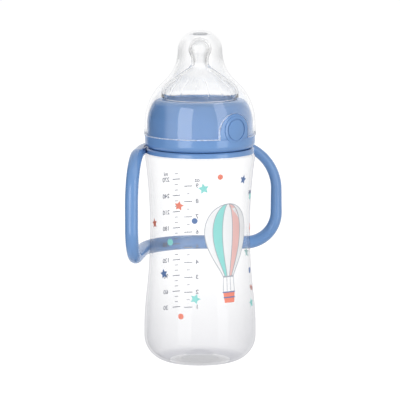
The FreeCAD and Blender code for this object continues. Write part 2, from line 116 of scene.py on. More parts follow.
# Goes from the first value to the second as the source passes through its reach
def ranged(tree, source, reach, values, smoothly=False):
    node = tree.nodes.new("ShaderNodeMapRange")
    node.interpolation_type = "SMOOTHSTEP" if smoothly else "LINEAR"
    setInputs(node, {"From Min": reach[0], "From Max": reach[1], "To Min": values[0], "To Max": values[1]})
    tree.links.new(source, node.inputs["Value"])
    return node.outputs["Result"]


# A value that changes smoothly with height on the piece
def byHeight(tree, heights, values):
    coords = tree.nodes.new("ShaderNodeTexCoord")
    apart = tree.nodes.new("ShaderNodeSeparateXYZ")
    tree.links.new(coords.outputs["Object"], apart.inputs["Vector"])
    return ranged(tree, apart.outputs["Z"], heights, values, True)


def colourSockets(sockets):
    return [socket for socket in sockets if socket.type == "RGBA"]


def twoTone(tree, source, first, second):
    node = tree.nodes.new("ShaderNodeMix")
    node.data_type = "RGBA"
    for socket, colour in zip(colourSockets(node.inputs), (first, second)):
        socket.default_value = (*colour, 1)
    tree.links.new(source, node.inputs["Factor"])
    return colourSockets(node.outputs)[0]


# Goes over from a tint to one colour by a share
def toneTo(tree, share, tint, colour):
    tone = twoTone(tree, share, colour, colour)
    tree.links.new(tint, colourSockets(tone.node.inputs)[0])
    return tone


def joinMath(tree, operation, first, second):
    node = tree.nodes.new("ShaderNodeMath")
    node.operation = operation
    tree.links.new(first, node.inputs[0])
    if isinstance(second, float):
        node.inputs[1].default_value = second
    else:
        tree.links.new(second, node.inputs[1])
    return node.outputs[0]


# 1 where a count, or a value that is only ever 0 or 1, is 0
def isNought(tree, source):
    return joinMath(tree, "LESS_THAN", source, 0.5)


def vectorMath(tree, operation, source):
    node = tree.nodes.new("ShaderNodeVectorMath")
    node.operation = operation
    tree.links.new(source, node.inputs[0])
    return node


def roughen(tree, shader, source, strength, depth):
    node = tree.nodes.new("ShaderNodeBump")
    setInputs(node, {"Strength": strength, "Distance": depth})
    tree.links.new(source, node.inputs["Height"])
    tree.links.new(node.outputs["Normal"], shader.inputs["Normal"])


def dress(node, material):
    node.data.materials.clear()
    node.data.materials.append(material)


# Moulded blue plastic of the collar and the handle frame
bluePlastic = {
    "light": (0.160, 0.315, 0.610),
    "deep": (0.145, 0.295, 0.585),
    "ior": 1.49,
    "roughness": (0.13, 0.20),
    "cloud": 45.0,
    "grain": 2600.0,
    "grainStrength": 0.05,
    "grainDepth": 0.02 * mm,
}


# Solid colour, for plastic and ink: a cloudy tone, with roughness and bump from a fine grain
def solidMaterial(name, spec):
    material, tree, shader = newMaterial(name)
    cloud = noiseFrom(tree, spec["cloud"], noiseForm["cloudDetail"])
    grain = noiseFrom(tree, spec["grain"], noiseForm["grainDetail"])
    tree.links.new(twoTone(tree, cloud, spec["deep"], spec["light"]), shader.inputs["Base Color"])
    tree.links.new(ranged(tree, grain, noiseForm["middle"], spec["roughness"]), shader.inputs["Roughness"])
    roughen(tree, shader, grain, spec["grainStrength"], spec["grainDepth"])
    setInputs(shader, {"IOR": spec["ior"]})
    return material


# Clear plastics and silicone: thin walls that hardly bend the light, with gloss on top and an edge tint where
# the wall is seen edge on:
# partly a real smoky tint, partly painted shade standing in for the dark outlines that bent light would give
clearBottle = {
    "light": (0.998, 0.998, 0.999),
    "deep": (0.990, 0.992, 0.995),
    # painted shade with a real smoky tint: the wall darkens where it is seen edge on
    "edge": (0.52, 0.52, 0.55),
    "edgeHeights": (10 * mm, 60 * mm),
    "edgeCurves": (1.5, 2.4),  # a higher power keeps the tint closer to the edge
    "foot": (0.89, 0.89, 0.90),  # painted shade: greyer towards the bottom
    "footShadeHeights": (0 * mm, 75 * mm),
    "base": (0.42, 0.42, 0.48),  # painted contact shadow: the lowest edge is dark
    "baseHeights": (0.2 * mm, 3.6 * mm),
    "clear": 0.98,
    "ior": 1.003,
    "gloss": 0.25,
    "roughness": (0.010, 0.030),
    "cloud": 35.0,
    "grain": 420.0,
    "grainStrength": 0.02,
    "grainDepth": 0.05 * mm,
}
clearCap = {
    "light": (0.999, 0.999, 1.0),
    "deep": (0.994, 0.996, 0.998),
    # painted shade with a real tint: the cap darkens where it is seen edge on
    "edge": (0.36, 0.37, 0.39),
    "edgeHeights": (182 * mm, 190 * mm),
    "edgeCurves": (6.0, 1.8),
    "fade": 0.25,  # the flat top keeps this share of the edge tint and painted shade
    "fadeHeights": (192 * mm, 200 * mm),
    "clear": 1.0,
    "ior": 1.003,
    "gloss": 0.9,
    "roughness": (0.008, 0.020),
    "cloud": 40.0,
    "grain": 380.0,
    "grainStrength": 0.02,
    "grainDepth": 0.04 * mm,
}
clearSilicone = {
    "light": (0.996, 0.996, 0.997),
    "deep": (0.988, 0.989, 0.990),
    # painted shade with a real tint: nearly black where the silicone is seen edge on
    "edge": (0.02, 0.02, 0.02),
    "edgeHeights": (180 * mm, 187 * mm),
    "edgeCurves": (5.5, 1.3),  # painted shade: the nipple's sides are darker
    "fade": 0.30,
    "fadeHeights": (192 * mm, 198 * mm),  # and a paler tip
    "clear": 1.0,
    "ior": 1.10,
    "gloss": 0.25,
    "roughness": (0.02, 0.05),
    "cloud": 60.0,
    "grain": 700.0,
    "grainStrength": 0.02,
    "grainDepth": 0.04 * mm,
    "absorbs": (0.50, 0.50, 0.52),
    "density": 6.0,
}


# How far a wall is seen edge on, to a power that changes with height
def edgeShare(tree, heights, curves):
    weight = tree.nodes.new("ShaderNodeLayerWeight")
    return joinMath(tree, "POWER", weight.outputs["Facing"], byHeight(tree, heights, curves))


def clearMaterial(name, spec, edged=True):
    material, tree, shader = newMaterial(name)
    cloud = noiseFrom(tree, spec["cloud"], noiseForm["cloudDetail"])
    grain = noiseFrom(tree, spec["grain"], noiseForm["grainDetail"], noiseForm["drawn"])
    tint = twoTone(tree, cloud, spec["deep"], spec["light"])
    # painted shade, greyer towards the bottom of the bottle
    if "foot" in spec:
        tint = toneTo(tree, byHeight(tree, spec["footShadeHeights"], (1.0, 0.0)), tint, spec["foot"])
    # painted contact shadow along the lowest edge
    if edged and "base" in spec:
        tint = toneTo(tree, byHeight(tree, spec["baseHeights"], (1.0, 0.0)), tint, spec["base"])
    # edge tint, partly painted shade standing in for the dark outlines of bent light
    if edged:
        share = edgeShare(tree, spec["edgeHeights"], spec["edgeCurves"])
        if "fade" in spec:
            fade = byHeight(tree, spec["fadeHeights"], (1.0, spec["fade"]))
            share = joinMath(tree, "MULTIPLY", share, fade)
        tint = toneTo(tree, share, tint, spec["edge"])
    tree.links.new(tint, shader.inputs["Base Color"])
    tree.links.new(ranged(tree, cloud, noiseForm["middle"], spec["roughness"]), shader.inputs["Roughness"])
    roughen(tree, shader, grain, spec["grainStrength"], spec["grainDepth"])
    setInputs(shader, {"IOR": spec["ior"], "Transmission Weight": spec["clear"],
                       "Coat Weight": spec["gloss"]})
    if "density" in spec:
        absorption = tree.nodes.new("ShaderNodeVolumeAbsorption")
        setInputs(absorption, {"Color": (*spec["absorbs"], 1), "Density": spec["density"]})
        tree.links.new(absorption.outputs["Volume"], tree.nodes["Material Output"].inputs["Volume"])
    return material


blueMaterial = solidMaterial("satinBlue", bluePlastic)
dress(nodes["handle_frame"], blueMaterial)
dress(nodes["screw_collar"], blueMaterial)
print("nodes dressed")

# Turned shells: each clear piece is turned finely from the outline of its own node
turning = {
    "tiny": 1e-7,
    "decimals": 6,  # radii that agree this far count as one
    "straight": 0.0015 * mm,  # a point this close to its neighbours' line is left out
    "corner": math.radians(25),  # a sharper turn is a real corner
    "runRatio": 3.0,  # a run this much longer than the next one is straight
    "arcStep": math.radians(2.0),
    "hardEdge": math.radians(35),  # faces that meet more sharply aren't shaded as one
}
materialPlaces = {"inside": 1, "tip": 2, "rim": 3}  # in a clear piece's list, after its outside


# Points (radius, height) in order where a node's mesh crosses the XZ half-plane
def turnedOutline(node, keep):
    shape = bmesh.new()
    shape.from_mesh(node.data)
    tiny = turning["tiny"]
    bmesh.ops.remove_doubles(shape, verts=shape.verts[:], dist=tiny)
    parts = shape.verts[:] + shape.edges[:] + shape.faces[:]
    cut = bmesh.ops.bisect_plane(shape, geom=parts, dist=tiny, plane_co=(0, 0, 0), plane_no=(0, 1, 0))
    linked = {}
    for part in cut["geom_cut"]:
        if isinstance(part, bmesh.types.BMEdge):
            ends = [vertex for vertex in part.verts if vertex.co.x > -tiny and keep(vertex.co.x, vertex.co.z)]
            if len(ends) == 2:
                linked.setdefault(ends[0], []).append(ends[1])
                linked.setdefault(ends[1], []).append(ends[0])
    left = set(linked)
    here = min(left, key=lambda vertex: (round(vertex.co.x, turning["decimals"]), -vertex.co.z))
    line = []
    while True:
        left.discard(here)
        line.append(here.co.xz)
        if not left:
            break
        near = [vertex for vertex in linked[here] if vertex in left] or left
        here = min(near, key=lambda vertex: (vertex.co - here.co).length)
    shape.free()
    return line


def atLine(points, index, closed):
    if closed:
        return points[index % len(points)]
    return points[index] if 0 <= index < len(points) else None


# Leaves out the points that lie on a straight run
def plainOutline(line, closed):
    kept = list(line)
    index = 0
    while index < len(kept):
        before, after = atLine(kept, index - 1, closed), atLine(kept, index + 1, closed)
        if before is not None and after is not None:
            run = (after - before).normalized()
            offset = kept[index] - before
            if abs(run.x * offset.y - run.y * offset.x) < turning["straight"]:
                kept.pop(index)
                continue
        index += 1
    return kept


# Direction of the outline at a point, or none at a corner or an end
def wayAt(points, index, closed):
    before, after = atLine(points, index - 1, closed), atLine(points, index + 1, closed)
    if before is None or after is None:
        return None
    here = atLine(points, index, closed)
    first, second = here - before, after - here
    if first.angle(second) > turning["corner"]:
        return None
    if first.length > turning["runRatio"] * second.length:
        return first.normalized()
    if second.length > turning["runRatio"] * first.length:
        return second.normalized()
    return (first.normalized() * second.length + second.normalized() * first.length).normalized()


# Fills the outline's arcs with fine points, round from corner to corner
def fineOutline(line, closed, longest):
    points = plainOutline(line, closed)
    fine = []
    for index in range(len(points) - (0 if closed else 1)):
        start, end = points[index], atLine(points, index + 1, closed)
        chord = end - start
        along = chord.normalized()
        leave, arrive = wayAt(points, index, closed), wayAt(points, index + 1, closed)
        if leave is None:
            leave = along if arrive is None else along * (2 * along.dot(arrive)) - arrive
        if arrive is None:
            arrive = along * (2 * along.dot(leave)) - leave
        arcSteps = math.ceil(leave.angle(arrive, 0) / turning["arcStep"])
        count = max(1, arcSteps, math.ceil(chord.length / longest))
        for step in range(count):
            done = step / count  # a cubic leaves the start and meets the end in their own directions
            rest = 1 - done
            fine.append(start * ((1 + 2 * done) * rest ** 2) + leave * (chord.length * done * rest ** 2)
                        + end * (done * done * (3 - 2 * done)) - arrive * (chord.length * done * done * rest))
    if not closed:
        fine.append(points[-1])
    return fine


# Turns an outline round the axis; relief(angle, point, outward) lifts the surface along its outward way
def turnedMesh(name, outline, closed, steps, relief=None):
    spin = sum(first.x * second.y - second.x * first.y for first, second in zip(outline, outline[1:]))
    side = 1 if spin > 0 else -1
    vertices, rows, faces = [], [], []
    for index, point in enumerate(outline):
        before = atLine(outline, index - 1, closed) or point
        after = atLine(outline, index + 1, closed) or point
        way = (after - before).normalized()
        outward = Vector((way.y, -way.x)) * side
        row = []
        for step in range(1 if point.x < turning["tiny"] else steps):
            turn = 2 * math.pi * step / steps
            spot = point + outward * relief(turn, point, outward) if relief else point
            row.append(len(vertices))
            vertices.append((spot.x * math.cos(turn), spot.x * math.sin(turn), spot.y))
        rows.append(row if len(row) > 1 else row * steps)
    for index in range(len(outline) - (0 if closed else 1)):
        low, high = rows[index], atLine(rows, index + 1, closed)
        for step in range(steps):
            following = (step + 1) % steps
            ring = [low[step], low[following], high[following], high[step]]
            faces.append(list(dict.fromkeys(ring if side > 0 else ring[::-1])))
    mesh = bpy.data.meshes.new(name)
    mesh.from_pydata(vertices, [], faces)
    return mesh


# Gives a material to the faces between two rows of a turned outline, or to all after the first row
def paintRows(mesh, steps, first, last, material):
    for face in mesh.polygons[first * steps:None if last is None else last * steps]:
        face.material_index = materialPlaces[material]


def shadedPiece(name, mesh, body):
    mesh.validate()
    mesh.shade_smooth()
    mesh.set_sharp_from_angle(angle=turning["hardEdge"])
    piece = bpy.data.objects.new(name, mesh)
    scene.collection.objects.link(piece)
    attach(piece, body)
    return piece


def clearPiece(name, mesh, body, node):
    piece = shadedPiece(name, mesh, body)
    piece.visible_shadow = False  # clear walls let the lamps through
    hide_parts(node)


def everywhere(radius, height):
    return True


# Bottle: turned wall and neck, with the thread as a ridge wound on the neck
bottleForm = {
    "steps": 192,
    "longest": 3.0 * mm,
    "shoulder": 131.0 * mm,
    "neckRadius": 27.4 * mm,
    "neckSlack": 0.01 * mm,
    "puntReach": 13.5 * mm,  # under the base, the faces within this radius look like the inside
    "threadStart": 139.5 * mm,
    "threadPitch": 5.0 * mm,
    "threadTurns": 1.25,
    "threadDepth": 1.3 * mm,
    "threadRoot": 2.6 * mm,
    "threadCrest": 1.3 * mm,
    "threadSteps": 120,
    "threadFade": 0.04,  # share of the ridge that rises at each end
    "threadStub": 0.002,  # so that the ends don't close to a line
}


# True below the shoulder and on the neck, within its thread
def onBottle(radius, height):
    return height < bottleForm["shoulder"] or radius < bottleForm["neckRadius"] + bottleForm["neckSlack"]


def windThread(mesh, spec):
    shape = bmesh.new()
    shape.from_mesh(mesh)
    section = ((-spec["threadRoot"] / 2, 0), (-spec["threadCrest"] / 2, spec["threadDepth"]),
               (spec["threadCrest"] / 2, spec["threadDepth"]), (spec["threadRoot"] / 2, 0))
    rows = []
    for step in range(spec["threadSteps"] + 1):
        share = step / spec["threadSteps"]
        turn = 2 * math.pi * spec["threadTurns"] * share
        middle = spec["threadStart"] + spec["threadPitch"] * spec["threadTurns"] * share
        rise = min(1.0, (min(share, 1 - share) + spec["threadStub"]) / spec["threadFade"])
        row = []
        for up, proud in section:
            radius = spec["neckRadius"] + proud * rise
            row.append(shape.verts.new((radius * math.cos(turn), radius * math.sin(turn), middle + up)))
        rows.append(row)
    for low, high in zip(rows, rows[1:]):
        for index in range(len(section)):
            following = (index + 1) % len(section)
            shape.faces.new((low[index], high[index], high[following], low[following]))
    shape.faces.new(rows[0])
    shape.faces.new(rows[-1][::-1])
    shape.to_mesh(mesh)
    shape.free()


bottleOutline = fineOutline(turnedOutline(nodes["bottle_body"], onBottle), False, bottleForm["longest"])
bottleMesh = turnedMesh("bottle", bottleOutline, False, bottleForm["steps"])
bottleMesh.materials.append(clearMaterial("milkyClear", clearBottle))
bottleMesh.materials.append(clearMaterial("milkyInside", clearBottle, False))
bottleTop = max(range(len(bottleOutline)), key=lambda index: bottleOutline[index].y)
bottlePunt = min(index for index, point in enumerate(bottleOutline)
                 if index > bottleTop and point.x < bottleForm["puntReach"])
paintRows(bottleMesh, bottleForm["steps"], 0, bottleTop, "inside")
paintRows(bottleMesh, bottleForm["steps"], bottlePunt, None, "inside")
windThread(bottleMesh, bottleForm)
clearPiece("bottle", bottleMesh, "bottle", "bottle_body")
print("bottle turned:", len(bottleMesh.vertices), "points")

# Overcap: turned bell with the arched notch cut out of its rim
capForm = {
    "steps": 192,
    "longest": 2.0 * mm,
    "notchHalf": 11.2 * mm,
    "notchTall": 15.7 * mm,
    "notchSteps": 48,
    "notchReach": 2.0,  # depth of the cutter, in rim radii
    "tip": {"light": (0.62, 0.63, 0.65), "deep": (0.55, 0.56, 0.58)},  # painted shade: the flat inside of the tip is grey
    "rimTall": 0.7 * mm,
    # painted highlight on the rim band and the notch's cut faces
    "rimHighlightPale": (0.84, 0.90, 0.98),
    "rimHighlightDeep": (0.78, 0.85, 0.95),
    "rimClear": 0.45,
    "rimIor": 1.05,
    "rimRoughness": (0.22, 0.34),
    "rimGrain": 900.0,
    "rimDetail": 2.0,
}


# Painted highlight: the cut edges of the rim and the notch get a pale, half-clear finish that shows as bright
# lines
def rimHighlightMaterial(name, spec):
    material, tree, shader = newMaterial(name)
    grain = noiseFrom(tree, spec["rimGrain"], spec["rimDetail"])
    tree.links.new(twoTone(tree, grain, spec["rimHighlightDeep"], spec["rimHighlightPale"]), shader.inputs["Base Color"])
    tree.links.new(ranged(tree, grain, noiseForm["middle"], spec["rimRoughness"]), shader.inputs["Roughness"])
    setInputs(shader, {"IOR": spec["rimIor"], "Transmission Weight": spec["rimClear"]})
    return material


def cutNotch(mesh, spec):
    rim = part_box("overcap")[0]
    spring = rim.z + spec["notchTall"] - spec["notchHalf"]
    arch = [(-spec["notchHalf"], rim.z - spec["notchHalf"]), (spec["notchHalf"], rim.z - spec["notchHalf"])]
    for step in range(spec["notchSteps"] + 1):
        turn = math.pi * step / spec["notchSteps"]
        arch.append((spec["notchHalf"] * math.cos(turn), spring + spec["notchHalf"] * math.sin(turn)))
    shape = bmesh.new()
    face = shape.faces.new([shape.verts.new((across, 0, up)) for across, up in arch])
    grown = bmesh.ops.extrude_face_region(shape, geom=[face])["geom"]
    tops = [part for part in grown if isinstance(part, bmesh.types.BMVert)]
    bmesh.ops.translate(shape, verts=tops, vec=(0, spec["notchReach"] * rim.y, 0))
    bmesh.ops.recalc_face_normals(shape, faces=shape.faces[:])
    cutterMesh = bpy.data.meshes.new("notch")
    shape.to_mesh(cutterMesh)
    shape.free()
    for material in mesh.materials:
        cutterMesh.materials.append(material)
    for face in cutterMesh.polygons:
        face.material_index = materialPlaces["rim"]
    cutter = bpy.data.objects.new("notch", cutterMesh)
    bell = bpy.data.objects.new("bell", mesh)
    for item in (cutter, bell):
        scene.collection.objects.link(item)
    cut = bell.modifiers.new("notch", "BOOLEAN")
    cut.operation = "DIFFERENCE"
    cut.object = cutter
    bell = bell.evaluated_get(bpy.context.evaluated_depsgraph_get())
    notched = bpy.data.meshes.new_from_object(bell)
    bpy.data.objects.remove(cutter)
    bpy.data.objects.remove(bell.original)
    return notched


capLow, capHigh = (corner.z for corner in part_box("overcap"))
capLine = turnedOutline(nodes["overcap"], everywhere)
capLine.append(Vector((0, capLine[-1].y)))  # the inside of the tip ends on the axis
lowest = min(range(len(capLine)), key=lambda index: capLine[index].y)
capLine.insert(lowest, Vector((capLine[lowest].x, capLine[lowest].y + capForm["rimTall"])))
capOutline = fineOutline(capLine, False, capForm["longest"])
for point in capOutline:
    point.y = min(point.y, capHigh)
capMesh = turnedMesh("overcapBell", capOutline, False, capForm["steps"])
capMesh.materials.append(clearMaterial("glassClear", clearCap))
capMesh.materials.append(clearMaterial("glassInside", clearCap, False))
capMesh.materials.append(clearMaterial("glassTipShade", dict(clearCap, **capForm["tip"]), False))
capMesh.materials.append(rimHighlightMaterial("glassRimHighlight", capForm))
rimTop = capLow + capForm["rimTall"] + turning["tiny"]
rimRows = [index for index, point in enumerate(capOutline) if point.y < rimTop]
tipRow = min(index for index, point in enumerate(capOutline)
             if index > rimRows[-1] and point.y > capLine[-1].y - turning["tiny"])
# painted highlight on the rim band
paintRows(capMesh, capForm["steps"], rimRows[0], rimRows[-1], "rim")
paintRows(capMesh, capForm["steps"], rimRows[-1], tipRow, "inside")
# painted shade on the flat inside of the tip
paintRows(capMesh, capForm["steps"], tipRow, None, "tip")
capMesh = cutNotch(capMesh, capForm)
clearPiece("overcapBell", capMesh, "overcap", "overcap")
print("overcap turned:", len(capMesh.vertices), "points")

# Teat: turned silicone with ribs down its inside and a ring of dashes at the nipple's foot
teatForm = {
    "steps": 360,
    "longest": 0.8 * mm,
    "inward": -0.1,  # a surface that looks inwards more than this carries the ribs
    "ribs": 16,
    "ribTurn": -138.0,  # degrees from +X to the first rib
    "ribHalf": 0.55 * mm,
    "ribDepth": 0.55 * mm,
    "ribFoot": 165.0 * mm,
    "ribTops": (174.0 * mm, 178.0 * mm),  # short and long ribs take turns
    "ribFade": 2.0 * mm,
    "ribSteep": 2.0,
    "dashes": 20,
    "dashShare": 0.6,
    "dashHeight": 183.6 * mm,
    "dashHalf": 0.4 * mm,
    "dashProud": 0.22 * mm,
    "dashSteep": (4.0, 3.0),  # along and across
}


def smooth(value):
    value = min(1.0, max(0.0, value))
    return value * value * (3 - 2 * value)


# Height of the relief at a turn round the teat, in metres
def teatRelief(turn, point, outward):
    spec = teatForm
    if outward.x < spec["inward"]:
        place = (math.degrees(turn) - spec["ribTurn"]) / 360 * spec["ribs"]
        nearest = round(place)
        reach = abs(place - nearest) * 2 * math.pi / spec["ribs"] * point.x / spec["ribHalf"]
        above = (point.y - spec["ribFoot"]) / spec["ribFade"]
        below = (spec["ribTops"][nearest % 2] - point.y) / spec["ribFade"]
        return spec["ribDepth"] * smooth(spec["ribSteep"] * (1 - reach)) * smooth(above) * smooth(below)
    place = turn / (2 * math.pi) * spec["dashes"]
    along = abs(place - round(place)) * 2 / spec["dashShare"]
    across = abs(point.y - spec["dashHeight"]) / spec["dashHalf"]
    ends, sides = spec["dashSteep"]
    return spec["dashProud"] * smooth(ends * (1 - along)) * smooth(sides * (1 - across))


teatOutline = fineOutline(turnedOutline(nodes["teat"], everywhere), True, teatForm["longest"])
teatMesh = turnedMesh("siliconeTeat", teatOutline, True, teatForm["steps"], teatRelief)
teatMesh.materials.append(clearMaterial("silicone", clearSilicone))
clearPiece("siliconeTeat", teatMesh, "teat", "teat")
print("teat turned:", len(teatMesh.vertices), "points")

# Printed ink: thin closed flakes laid on the bottle's outer wall
inkSet = {
    "gap": 0.02 * mm,
    "thick": 0.05 * mm,
    "layer": 0.03 * mm,  # each later colour lies this much higher
    "cuts": (1.5 * mm, 3.0 * mm),  # widest steps of a flake round the wall and up it
    "figureShare": 0.7,  # height of the figures in the type size
    "figureSteps": 4,
}


# Outer radius of the bottle at a height
def wallRadius(height):
    radius = 0
    for low, high in zip(bottleOutline, bottleOutline[1:]):
        if min(low.y, high.y) <= height <= max(low.y, high.y) and low.y != high.y:
            share = (height - low.y) / (high.y - low.y)
            radius = max(radius, low.x + (high.x - low.x) * share)
    return radius


def onWall(angle, height, lift):
    return facing(angle) * (wallRadius(height) + lift) + Vector((0, 0, height))


# Cuts a flat shape into strips that can follow the round wall
def cutStrips(shape):
    for side, normal in enumerate(((1, 0, 0), (0, 1, 0))):
        step = inkSet["cuts"][side]
        places = [vertex.co[side] for vertex in shape.verts]
        for count in range(math.ceil(min(places) / step), math.floor(max(places) / step) + 1):
            spot = [0, 0, 0]
            spot[side] = count * step
            parts = shape.verts[:] + shape.edges[:] + shape.faces[:]
            bmesh.ops.bisect_plane(shape, geom=parts, dist=turning["tiny"], plane_co=spot, plane_no=normal)


def outlineShape(points):
    shape = bmesh.new()
    shape.faces.new([shape.verts.new((across, up, 0)) for across, up in points])
    bmesh.ops.triangulate(shape, faces=shape.faces[:])
    return shape


def textShape(words, tall, bolder):
    curve = bpy.data.curves.new("figures", "FONT")
    curve.body = words
    curve.size = tall / inkSet["figureShare"]
    curve.align_x = "CENTER"
    curve.align_y = "CENTER"
    curve.resolution_u = inkSet["figureSteps"]
    curve.offset = bolder
    holder = bpy.data.objects.new("figures", curve)
    flat = bpy.data.meshes.new_from_object(holder)
    shape = bmesh.new()
    shape.from_mesh(flat)
    bmesh.ops.remove_doubles(shape, verts=shape.verts[:], dist=turning["tiny"])
    bpy.data.objects.remove(holder)
    bpy.data.curves.remove(curve)
    bpy.data.meshes.remove(flat)
    return shape


# Wraps flat shapes, each with its angle and height, round the wall as one closed ink piece
def inkPiece(name, shapes, level, material):
    points, faces = [], []
    low = inkSet["gap"] + inkSet["layer"] * level
    high = low + inkSet["thick"]
    for shape, angle, height in shapes:
        cutStrips(shape)
        shape.verts.index_update()
        shape.verts.ensure_lookup_table()
        first = len(points)
        count = len(shape.verts)
        radius = wallRadius(height)
        for lift in (low, high):
            for vertex in shape.verts:
                turn = math.degrees(vertex.co.x / radius)
                points.append(onWall(angle + turn, height + vertex.co.y, lift))
        for face in shape.faces:
            ring = [vertex.index + first for vertex in face.verts]
            if face.normal.z < 0:
                ring.reverse()
            faces.append([index + count for index in ring])
            faces.append(ring[::-1])
            for start, end in zip(ring, ring[1:] + ring[:1]):
                edge = shape.edges.get((shape.verts[start - first], shape.verts[end - first]))
                if len(edge.link_faces) == 1:
                    faces.append([start, end, end + count, start + count])
        shape.free()
    mesh = bpy.data.meshes.new(name)
    mesh.from_pydata(points, [], faces)
    mesh.materials.append(material)
    shadedPiece(name, mesh, "bottle")


inkFinish = {
    "shade": 0.88,  # tone of the thinner ink
    "ior": 1.5,
    "roughness": (0.38, 0.55),
    "cloud": 90.0,
    "grain": 1800.0,
    "grainStrength": 0.08,
    "grainDepth": 0.02 * mm,
}


def inkMaterial(name, colour):
    thin = tuple(part * inkFinish["shade"] for part in colour)
    return solidMaterial(name, dict(inkFinish, light=colour, deep=thin))


# Volume scale on the back wall, read from behind; ticks and labels are placed across from its angle
volumeScale = {
    "angle": 140.0,
    "marks": 9,
    "tickTall": 0.55 * mm,
    "minorTall": 0.42 * mm,
    "figureTall": 2.7 * mm,
    "unitTall": 2.3 * mm,
    "unitRise": 3.6 * mm,
    "colour": (0.20, 0.22, 0.28),
    "bolder": 0.07 * mm,
    "units": {
        "ml": {
            "step": 30,
            "height": 27.7 * mm,  # of the first mark
            "rise": 10.24 * mm,
            "tick": (12.9 * mm, 18.1 * mm),
            "minor": (14.4 * mm, 16.6 * mm),
            "label": 23.4 * mm,
            "parts": 3,
            "minorsOnTop": 1,  # past the last mark
        },
        "oz": {
            "step": 1,
            "height": 27.0 * mm,
            "rise": 9.74 * mm,
            "tick": (4.9 * mm, 10.1 * mm),
            "minor": (6.6 * mm, 8.4 * mm),
            "label": 1.8 * mm,
            "parts": 2,
            "minorsOnTop": 0,
        },
    },
}


def scaleShapes(spec):
    shapes = []

    def tick(span, tall, height):
        left, right = span
        corners = [(left, -tall / 2), (right, -tall / 2), (right, tall / 2), (left, tall / 2)]
        shapes.append((outlineShape(corners), spec["angle"], height))

    def label(words, across, tall, height):
        shape = textShape(words, tall, spec["bolder"])
        bmesh.ops.translate(shape, verts=shape.verts[:], vec=(across, 0, 0))
        shapes.append((shape, spec["angle"], height))

    for name, unit in spec["units"].items():
        for mark in range(1, spec["marks"] + 1):
            height = unit["height"] + (mark - 1) * unit["rise"]
            tick(unit["tick"], spec["tickTall"], height)
            label(str(mark * unit["step"]), unit["label"], spec["figureTall"], height)
            minors = unit["minorsOnTop"] if mark == spec["marks"] else unit["parts"] - 1
            for minor in range(1, minors + 1):
                tick(unit["minor"], spec["minorTall"], height + minor * unit["rise"] / unit["parts"])
        label(name, unit["label"], spec["unitTall"], height + spec["unitRise"])
    return shapes


inkPiece("volumeScale", scaleShapes(volumeScale), 0, inkMaterial("scaleInk", volumeScale["colour"]))
print("scale printed")

# Nursery print on the front: a striped balloon, stars and dots
printColours = {
    "white": (0.92, 0.93, 0.94),
    "grey": (0.42, 0.45, 0.50),
    "teal": (0.30, 0.74, 0.70),
    "coral": (0.90, 0.26, 0.18),
    "pink": (0.90, 0.56, 0.53),
    "slate": (0.12, 0.21, 0.43),
}
upperColours = ("grey", "slate")  # printed over the others
balloon = {
    "angle": -7.0,
    "mouthHeight": 57 * mm,
    "tall": 45 * mm,
    "halfWidth": 15.5 * mm,
    "mouthHalf": 3.6 * mm,
    "widest": 0.62,  # share of the height
    "swell": 1.15,  # a higher power narrows the lower part
    "gores": (-1.0, -0.66, -0.24, 0.24, 0.66, 1.0),
    "goreColours": ("white", "teal", "white", "pink", "white"),
    "line": 0.45 * mm,
    "mouthLine": 0.90 * mm,
    "ropes": (-1, -0.33, 0.33, 1),
    "ropeLine": 0.36 * mm,
    "ropeDrop": 9.5 * mm,
    "ropeFoot": 0.94,  # share of the basket's half width
    "basketHalf": 4.2 * mm,
    "basketTall": 6.5 * mm,
    "basketFoot": 0.8,  # width at its foot as a share of the top
    "bands": ((0.0, 1.08), (0.5, 0.98)),  # share of the way down, share of the half width
    "bandLine": 0.72 * mm,
    "steps": 28,
}


def balloonHalf(spec, share):
    top = spec["widest"]
    if share > top:
        return spec["halfWidth"] * math.sqrt(max(0.0, 1 - ((share - top) / (1 - top)) ** 2))
    swell = math.sin(math.pi / 2 * share / top) ** spec["swell"]
    return spec["mouthHalf"] + (spec["halfWidth"] - spec["mouthHalf"]) * swell


def balloonSide(spec, gore):
    line = []
    for step in range(spec["steps"] + 1):
        share = math.sin(math.pi / 2 * step / spec["steps"])  # closer steps at the crown
        line.append((gore * balloonHalf(spec, share), share * spec["tall"]))
    return line


def strip(points, wide):
    sides = ([], [])
    for index, point in enumerate(points):
        ahead = Vector(points[min(index + 1, len(points) - 1)])
        behind = Vector(points[max(index - 1, 0)])
        along = (ahead - behind).normalized()
        across = Vector((-along.y, along.x)) * (wide / 2)
        sides[0].append(tuple(Vector(point) + across))
        sides[1].append(tuple(Vector(point) - across))
    return outlineShape(sides[0] + sides[1][::-1])


def balloonShapes(spec):
    shapes = {name: [] for name in printColours}

    def add(colour, shape, drop=0.0):
        shapes[colour].append((shape, spec["angle"], spec["mouthHeight"] - drop))

    for first, second, colour in zip(spec["gores"], spec["gores"][1:], spec["goreColours"]):
        crown = balloonSide(spec, second)[:-1]
        add(colour, outlineShape(crown + balloonSide(spec, first)[::-1]))
    for gore in spec["gores"]:
        add("grey", strip(balloonSide(spec, gore), spec["line"]))
    mouth, half = spec["mouthHalf"], spec["basketHalf"]
    add("grey", strip([(-mouth, 0), (mouth, 0)], spec["mouthLine"]))
    drop, tall = spec["ropeDrop"], spec["basketTall"]
    for side in spec["ropes"]:
        add("grey", strip([(side * mouth, 0), (side * half * spec["ropeFoot"], -drop)], spec["ropeLine"]))
    foot = half * spec["basketFoot"]
    add("coral", outlineShape([(-half, 0), (-foot, -tall), (foot, -tall), (half, 0)]), drop)
    for down, share in spec["bands"]:
        wide = half * share
        add("slate", strip([(-wide, -tall * down), (wide, -tall * down)], spec["bandLine"]), drop)
    return shapes


